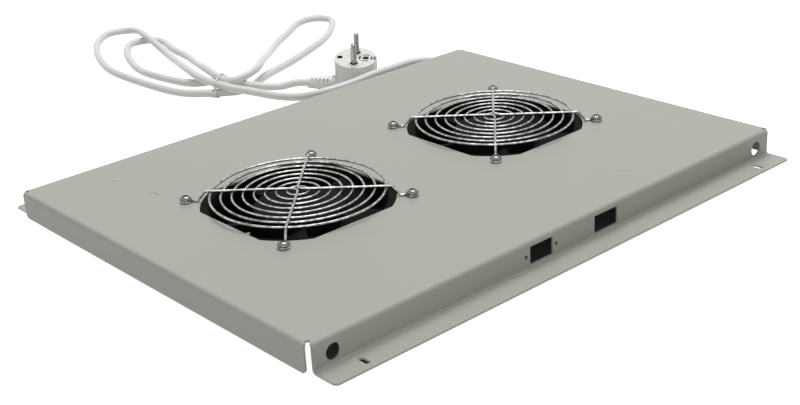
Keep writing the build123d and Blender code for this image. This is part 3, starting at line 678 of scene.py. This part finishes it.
class GuardSettings(bpy.types.PropertyGroup):
    """Sizes of the wire guards."""

    ring_count: bpy.props.IntProperty(
        name="Rings", description="Number of rings in a guard", default=ring_count, min=1
    )
    ring_pitch: bpy.props.FloatProperty(
        name="Ring pitch", description="Step between two rings", default=ring_pitch, unit="LENGTH"
    )
    ring_wire: bpy.props.FloatProperty(
        name="Ring wire", description="Radius of the rings' wire", default=ring_wire, unit="LENGTH"
    )
    leg_wire: bpy.props.FloatProperty(
        name="Leg wire", description="Radius of the legs' wire", default=leg_wire, unit="LENGTH"
    )


class CordSettings(bpy.types.PropertyGroup):
    """Finish and size of the mains cord and plug."""

    radius: bpy.props.FloatProperty(
        name="Cord radius", description="Radius of the cord's jacket", default=3.5 * mm, unit="LENGTH"
    )
    colour: bpy.props.FloatVectorProperty(
        name="Cord colour", description="Colour of the jacket and plug", subtype="COLOR",
        default=(0.9, 0.9, 0.87), min=0.0, max=1.0,
    )


class StageSettings(bpy.types.PropertyGroup):
    """Light and floor."""

    lamp_power: bpy.props.FloatProperty(
        name="Lamp power", description="Power of the large soft lamp", default=34.5,
        min=0.0, subtype="POWER",
    )
    near_power: bpy.props.FloatProperty(
        name="Near power", description="Power of the small lamp by the near corner", default=1.5,
        min=0.0, subtype="POWER",
    )
    sky: bpy.props.FloatProperty(
        name="Sky strength", description="Even light from all round", default=0.2, min=0.0
    )
    floor_colour: bpy.props.FloatVectorProperty(
        name="Floor colour", description="Colour of the pale floor", subtype="COLOR",
        default=(0.62, 0.62, 0.62), min=0.0, max=1.0,
    )
    # Painted shadow: the floor beneath the tray is given this dark colour to stand for the tray's shade
    # there
    painted_shadow_colour: bpy.props.FloatVectorProperty(
        name="Shaded floor", description="Colour of the floor beneath the tray", subtype="COLOR",
        default=(0.2, 0.2, 0.2), min=0.0, max=1.0,
    )
    floor_glow: bpy.props.FloatProperty(
        name="Floor glow", description="How much paler the camera sees the floor", default=0.95, min=0.0
    )


class TRAY_OT_stage(bpy.types.Operator):
    """Add the floor, the lamps and the camera"""

    bl_idname = "tray.stage"
    bl_label = "Stage"

    def execute(self, context):
        settings = context.scene.tray_stage
        self.camera(context.scene)
        self.floor(context.scene, settings)
        self.lamp(context.scene, "soft_lamp", settings.lamp_power, soft_lamp_size, soft_lamp_place)
        self.lamp(context.scene, "near_lamp", settings.near_power, near_lamp_size, near_lamp_place)
        self.sky(context.scene, settings)
        context.scene.view_settings.view_transform = "Standard"
        return {"FINISHED"}

    def camera(self, scene):
        """Camera at the photograph's place and angle."""
        data = bpy.data.cameras.new("camera")
        data.sensor_width = 36.0
        data.lens = camera_lens
        data.clip_start = 0.01
        data.clip_end = 50.0
        camera = bpy.data.objects.new("camera", data)
        up = camera_right.cross(camera_view)
        turn = Matrix((camera_right, up, -camera_view)).transposed().to_4x4()
        camera.matrix_world = Matrix.Translation(camera_place) @ turn
        scene.collection.objects.link(camera)
        scene.camera = camera

    def floor(self, scene, settings):
        """Pale floor that glows white for the camera round the tray, with a painted shadow beneath it: a
        dark colour there and no glow.
        """
        shape = bmesh.new()
        bmesh.ops.create_grid(shape, x_segments=1, y_segments=1, size=6.0)
        mesh = mesh_from(shape, "floor")
        floor = bpy.data.objects.new("floor", mesh)
        floor.location.z = -floor_drop
        scene.collection.objects.link(floor)
        finish = Finish("pale_floor", settings.floor_colour, 0.8)
        seen = finish.node("LightPath").at_least(finish.node("LightPath", output=3))
        beside = finish.between(finish.axis("X").size(), *painted_shadow_edge_x)
        before = finish.between(finish.axis("Y").size(), *painted_shadow_edge_y)
        outside_painted_shadow = beside.at_least(before).at_least(self.strip(finish))
        # Beneath the tray the colour is painted dark as a painted shadow, except in the strip
        finish.set("Base Color", finish.mix(outside_painted_shadow, settings.painted_shadow_colour[:] + (1.0,), finish.colour))
        finish.set("Emission Color", (1.0, 1.0, 1.0, 1.0))
        # No glow inside the painted shadow, so it stays dark for the camera
        finish.set("Emission Strength", seen * outside_painted_shadow * settings.floor_glow)
        finish.set("Specular IOR Level", 0.0)
        mesh.materials.append(finish.material)

    def strip(self, finish):
        """Mask of a strip of floor that shows through the gap at the near corner, kept pale and glowing
        inside the painted shadow as a painted strip of light.
        """
        from_side = (finish.axis("X") - panel_low.x) * strip_across[0]
        from_wall = (finish.axis("Y") + wall_y) * strip_across[1]
        narrow = finish.between((from_side - from_wall).size(), *strip_edge, 1.0, 0.0)
        return narrow * finish.between(finish.axis("X"), *strip_end, 1.0, 0.0)

    def lamp(self, scene, name, power, size, place):
        """Soft lamp that points at the tray."""
        data = bpy.data.lights.new(name, "AREA")
        data.shape = "RECTANGLE"
        data.size, data.size_y = size
        data.energy = power
        lamp = bpy.data.objects.new(name, data)
        lamp.location = place
        lamp.rotation_euler = (-lamp.location).to_track_quat("-Z", "Y").to_euler()
        scene.collection.objects.link(lamp)

    def sky(self, scene, settings):
        """Even grey light, seen as white by the camera and in reflections."""
        world = bpy.data.worlds.new("sky")
        world.use_nodes = True
        tree = world.node_tree
        background = tree.nodes["Background"]
        background.inputs["Color"].default_value = (1.0, 1.0, 1.0, 1.0)
        path = tree.nodes.new("ShaderNodeLightPath")
        seen = Wire(tree, path.outputs["Is Camera Ray"])
        seen = seen.at_least(Wire(tree, path.outputs["Is Glossy Ray"]))
        seen = seen.at_least(Wire(tree, path.outputs["Is Transmission Ray"]))
        join(tree, background.inputs["Strength"], settings.sky + seen * (1.0 - settings.sky))
        scene.world = world


class TRAY_OT_cord(bpy.types.Operator):
    """Add the mains cord along its route"""

    bl_idname = "tray.cord"
    bl_label = "Mains cord"

    def execute(self, context):
        settings = context.scene.tray_cord
        curve = bpy.data.curves.new("cord", "CURVE")
        curve.dimensions = "3D"
        curve.bevel_depth = settings.radius
        curve.bevel_resolution = 5
        curve.resolution_u = 10
        curve.use_fill_caps = True
        spline = curve.splines.new("NURBS")
        boot = [Vector((boot_end + cord_end_run, 0, -boot_axis)), Vector((boot_end, 0, -boot_axis))]
        points = [Vector(p) for p in cord_points] + [plug_matrix() @ p for p in boot]
        spline.points.add(len(points) - 1)
        for point, place in zip(spline.points, points):
            point.co = (*place, 1.0)
        spline.order_u = 3
        spline.use_endpoint_u = True
        curve.materials.append(jacket(settings))
        cord = bpy.data.objects.new("cord", curve)
        context.scene.collection.objects.link(cord)
        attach(cord, "tray")
        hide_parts("mains_cord")
        return {"FINISHED"}


class TRAY_OT_plug(bpy.types.Operator):
    """Dress the plug, its pins and contacts, and the tie round the cord"""

    bl_idname = "tray.plug"
    bl_label = "Plug and tie"

    def execute(self, context):
        settings = context.scene.tray_cord
        white = plug_moulding(settings)
        on_cord = [
            dress("plug_body", [white]),
            dress("plug_strain_relief", [white]),
            dress("plug_pins", [pin_plating()]),
            dress("plug_earth_contacts", [tinned_brass()]),
            self.tie(bpy.data.objects["cord"].data, settings),
        ]
        return {"FINISHED"}

    def line(self, curve):
        """Points along the cord's own spline."""
        bare = curve.copy()
        bare.bevel_depth = 0.0
        holder = bpy.data.objects.new("line", bare)
        mesh = bpy.data.meshes.new_from_object(holder)
        points = [vert.co.copy() for vert in mesh.vertices]
        bpy.data.objects.remove(holder)
        bpy.data.curves.remove(bare)
        bpy.data.meshes.remove(mesh)
        return points

    def tie(self, curve, settings):
        """Nylon band drawn round the strands, with its lock and cut tail."""
        along = Vector((cos(tie_heading), sin(tie_heading), 0))
        across = Vector((sin(tie_heading), -cos(tie_heading), 0))
        strands = []
        points = [p - tie_place for p in self.line(curve)]
        for first, last in zip(points, points[1:]):
            before, after = first.dot(along), last.dot(along)
            if before * after <= 0 and first.length < tie_reach:
                cut = first.lerp(last, before / (before - after))
                strands.append(Vector((cut.dot(across), cut.z)))
        shape = bmesh.new()
        self.band(shape, strands, settings.radius + tie_gap, along, across)
        near = min(strands, key=lambda strand: strand.x)
        outside = near.x - settings.radius - tie_gap - tie_thickness / 2
        self.block(shape, Vector((outside - lock_size.x / 2, near.y)), lock_size, along, across)
        tail = Vector((tie_thickness, tie_width, tail_length))
        rise = (lock_size.z + tail_length) / 2 - tail_sink
        end = Vector((outside - lock_size.x / 2, near.y + rise))
        self.block(shape, end, tail, along, across)
        mesh = bpy.data.meshes.new("cord_tie_skin")
        bmesh.ops.recalc_face_normals(shape, faces=shape.faces)
        shape.to_mesh(mesh)
        shape.free()
        piece = add_piece("cord_tie_skin", mesh, [tie_nylon()], "tray", ["cord_tie"])
        edge = piece.modifiers.new("soft edges", "BEVEL")
        edge.width = tie_edge
        edge.segments = 2
        return piece

    def band(self, shape, strands, inside, along, across):
        """Flat band along the hull of the strands' outlines."""
        steps = [2 * pi * i / band_steps for i in range(band_steps)]
        outline = [s + inside * Vector((cos(t), sin(t))) for s in strands for t in steps]
        hull = [outline[i] for i in convex_hull_2d(outline)]
        middle = sum(hull, Vector((0, 0))) / len(hull)
        rows = []
        for before, here, after in zip(hull[-1:] + hull, hull, hull[1:] + hull[:1]):
            run = (after - before).normalized()
            out = Vector((run.y, -run.x)) * tie_thickness
            if out.dot(here - middle) < 0:
                out = -out
            row = []
            for place, side in ((here, -1), (here + out, -1), (here + out, 1), (here, 1)):
                corner = tie_place + across * place.x + along * side * tie_width / 2
                row.append(shape.verts.new(corner + Vector((0, 0, place.y))))
            rows.append(row)
        for first, last in zip(rows, rows[1:] + rows[:1]):
            for i in range(4):
                j = (i + 1) % 4
                shape.faces.new((first[i], first[j], last[j], last[i]))

    def block(self, shape, place, size, along, across):
        """Box in the tie's plane, its sizes across, along and up."""
        turn = Matrix((across, along, Vector((0, 0, 1)))).transposed().to_4x4()
        centre = tie_place + across * place.x + Vector((0, 0, place.y))
        matrix = Matrix.Translation(centre) @ turn @ Matrix.Diagonal((*size, 1.0))
        bmesh.ops.create_cube(shape, size=1.0, matrix=matrix)


class TRAY_OT_panel(bpy.types.Operator):
    """Dress the folded panel"""

    bl_idname = "tray.panel"
    bl_label = "Panel"

    def execute(self, context):
        dress("tray_panel", [paint(context.scene.tray_panel)])
        return {"FINISHED"}


class TRAY_OT_guards(bpy.types.Operator):
    """Build the two wire guards"""

    bl_idname = "tray.guards"
    bl_label = "Wire guards"

    def execute(self, context):
        settings = context.scene.tray_guard
        finish = plating()
        for side, place in fan_places.items():
            shape = bmesh.new()
            self.rings(shape, place, settings)
            for hand in (-1, 1):
                self.leg(shape, place, hand, settings)
            mesh = mesh_from(shape, f"wire_guard_{side}")
            node = f"guard_{side}"
            add_piece(f"wire_guard_{side}", mesh, [finish], "tray", [node])
        return {"FINISHED"}

    def heights(self, settings):
        """Heights of the rings, of the legs over them and of the eyes."""
        leg_high = guard_high.z - settings.leg_wire
        ring_high = leg_high - settings.leg_wire - settings.ring_wire + weld_sink
        return ring_high, leg_high, guard_low.z + settings.leg_wire

    def rings(self, shape, place, settings):
        """Rings of wire round the fan's axis."""
        centre = Vector((place.x, place.y, self.heights(settings)[0]))
        for i in range(settings.ring_count):
            radius = (i + 1) * settings.ring_pitch
            add_ring(shape, centre, radius, settings.ring_wire, 48 + 8 * i, 10)

    def leg(self, shape, place, hand, settings):
        """One V-shaped support wire with an eye at each end."""
        leg_high, leg_low = self.heights(settings)[1:]
        stops = [
            (sqrt(2) * screw_reach - eye_radius, leg_low),
            (leg_step_low, leg_low),
            (leg_step_high, leg_high),
        ]
        first = [(hand * r / sqrt(2), r / sqrt(2), z) for r, z in stops]
        second = [(x, -y, z) for x, y, z in reversed(first)]
        points = first + [(hand * apex_offset, 0, leg_high)] + second
        shift = Vector((place.x, place.y, 0))
        path = [p + shift for p in rounded(points, [step_bend] * 2 + [apex_bend] + [step_bend] * 2)]
        add_wire(shape, path, settings.leg_wire)
        for end in (-1, 1):
            eye = Vector((hand * screw_reach, end * screw_reach, leg_low)) + shift
            add_ring(shape, eye, eye_radius, settings.leg_wire, 28, 10)


class TRAY_OT_fasteners(bpy.types.Operator):
    """Dress the guards' screws, washers and nuts"""

    bl_idname = "tray.fasteners"
    bl_label = "Screws and nuts"

    def execute(self, context):
        dark = screw_plating()
        steel = zinc()
        for side in fan_places:
            dress(f"guard_screws_{side}", [dark], crease=40.0)
            dress(f"lock_washers_{side}", [steel])
            dress(f"fan_nuts_{side}", [steel])
        for node in ("weld_studs", "stud_nuts", "earth_washer", "clamping_screws"):
            dress(node, [steel])
        return {"FINISHED"}


class TRAY_OT_fans(bpy.types.Operator):
    """Dress the fan frames and impellers"""

    bl_idname = "tray.fans"
    bl_label = "Fans"

    def execute(self, context):
        cast = die_cast()
        blade = blade_moulding()
        for side in fan_places:
            dress(f"fan_frame_{side}", [cast])
            dress(f"impeller_{side}", [blade], crease=40.0)
        return {"FINISHED"}


class TRAY_OT_motors(bpy.types.Operator):
    """Dress the pieces inside the fans' hubs"""

    bl_idname = "tray.motors"
    bl_label = "Motors"

    def execute(self, context):
        steel = zinc()
        core = laminations()
        black = black_moulding()
        brass = tinned_brass()
        for side in fan_places:
            for node in ("bearings", "rotor_ring", "shaft", "shaft_clip"):
                dress(f"{node}_{side}", [steel])
            dress(f"stator_core_{side}", [core])
            dress(f"stator_windings_{side}", [windings(side)])
            dress(f"thrust_washer_{side}", [black])
            dress(f"terminal_holder_{side}", [black])
            dress(f"blade_terminals_{side}", [brass])
        return {"FINISHED"}


class TRAY_OT_wiring(bpy.types.Operator):
    """Dress the bushing, the terminal block and the cord's cores"""

    bl_idname = "tray.wiring"
    bl_label = "Wiring"

    def execute(self, context):
        dress("cable_bushing", [black_moulding()])
        dress("terminal_block", [pale_moulding()])
        cores = [
            insulation("core_brown", (0.13, 0.05, 0.02)),
            insulation("core_earth", (0.03, 0.22, 0.03), (0.75, 0.62, 0.02)),
            insulation("core_blue", (0.01, 0.10, 0.45)),
        ]
        low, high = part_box("cord_cores")
        middle = (low + high) / 2
        spread = (high.x - low.x) / 3

        def core_of(face):
            place = face.calc_center_median()
            share = (high.y - place.y) / (high.y - low.y)
            offset = place.x - cord_points[0][0] - (middle.x - cord_points[0][0]) * share
            limit = spread * max(share, 0.12) / 2
            return 0 if offset < -limit else 2 if offset > limit else 1

        dress("cord_cores", cores, faces=core_of)
        return {"FINISHED"}


class TRAY_PT_pieces(bpy.types.Panel):
    """Pieces and sizes of the fan tray"""

    bl_idname = "TRAY_PT_pieces"
    bl_label = "Fan tray"
    bl_space_type = "VIEW_3D"
    bl_region_type = "UI"
    bl_category = "Fan tray"

    def draw(self, context):
        scene = context.scene
        for settings in (scene.tray_panel, scene.tray_guard, scene.tray_cord, scene.tray_stage):
            box = self.layout.box()
            for name in settings.__annotations__:
                box.prop(settings, name)
        for operator in operators:
            self.layout.operator(operator.bl_idname)


operators = (
    TRAY_OT_stage,
    TRAY_OT_cord,
    TRAY_OT_plug,
    TRAY_OT_panel,
    TRAY_OT_guards,
    TRAY_OT_fasteners,
    TRAY_OT_fans,
    TRAY_OT_motors,
    TRAY_OT_wiring,
)
groups = {
    "tray_panel": PanelSettings,
    "tray_guard": GuardSettings,
    "tray_cord": CordSettings,
    "tray_stage": StageSettings,
}


def register():
    for group in groups.values():
        bpy.utils.register_class(group)
    for name, group in groups.items():
        setattr(bpy.types.Scene, name, bpy.props.PointerProperty(type=group))
    for operator in operators:
        bpy.utils.register_class(operator)
    bpy.utils.register_class(TRAY_PT_pieces)


def unregister():
    bpy.utils.unregister_class(TRAY_PT_pieces)
    for operator in reversed(operators):
        bpy.utils.unregister_class(operator)
    for name in groups:
        delattr(bpy.types.Scene, name)
    for group in groups.values():
        bpy.utils.unregister_class(group)


def main():
    register()
    bpy.ops.tray.stage()
    bpy.ops.tray.cord()
    bpy.ops.tray.plug()
    bpy.ops.tray.panel()
    bpy.ops.tray.guards()
    bpy.ops.tray.fasteners()
    bpy.ops.tray.fans()
    bpy.ops.tray.motors()
    bpy.ops.tray.wiring()


if __name__ == "__main__":
    main()
